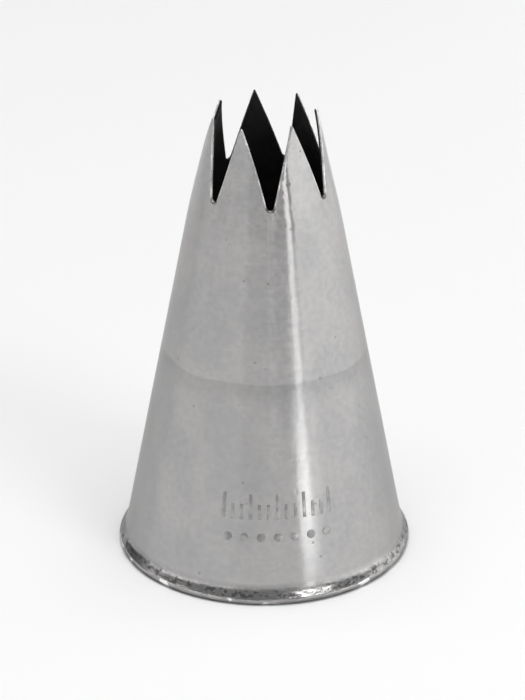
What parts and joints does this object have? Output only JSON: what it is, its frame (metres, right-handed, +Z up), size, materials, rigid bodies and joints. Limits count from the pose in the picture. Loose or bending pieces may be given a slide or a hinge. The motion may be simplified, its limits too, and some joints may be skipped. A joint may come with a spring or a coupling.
{
  "type": "piping nozzle",
  "caption": "Open star piping nozzle: a thin steel cone with a rolled rim at its wide end and pointed teeth round its outlet, for piping cream and pastry.",
  "frame": {"origin": "centre of the ring that the rolled rim rests on", "axes": "+Z up the nozzle's axis and out of the star outlet; +X through the middle of tooth_1; the side that faces the picture's viewer is near -Y"},
  "size_m": [0.031, 0.031, 0.05],
  "materials": {
    "satin_steel": "satin stainless steel, spun and tumbled, with a dull dark inside"
  },
  "bodies": {
    "root": {"rolled_rim": "satin_steel", "cone_wall": "satin_steel", "tooth_1": "satin_steel", "tooth_2": "satin_steel", "tooth_3": "satin_steel", "tooth_4": "satin_steel", "tooth_5": "satin_steel", "tooth_6": "satin_steel", "tooth_7": "satin_steel"}
  },
  "joints": []
}
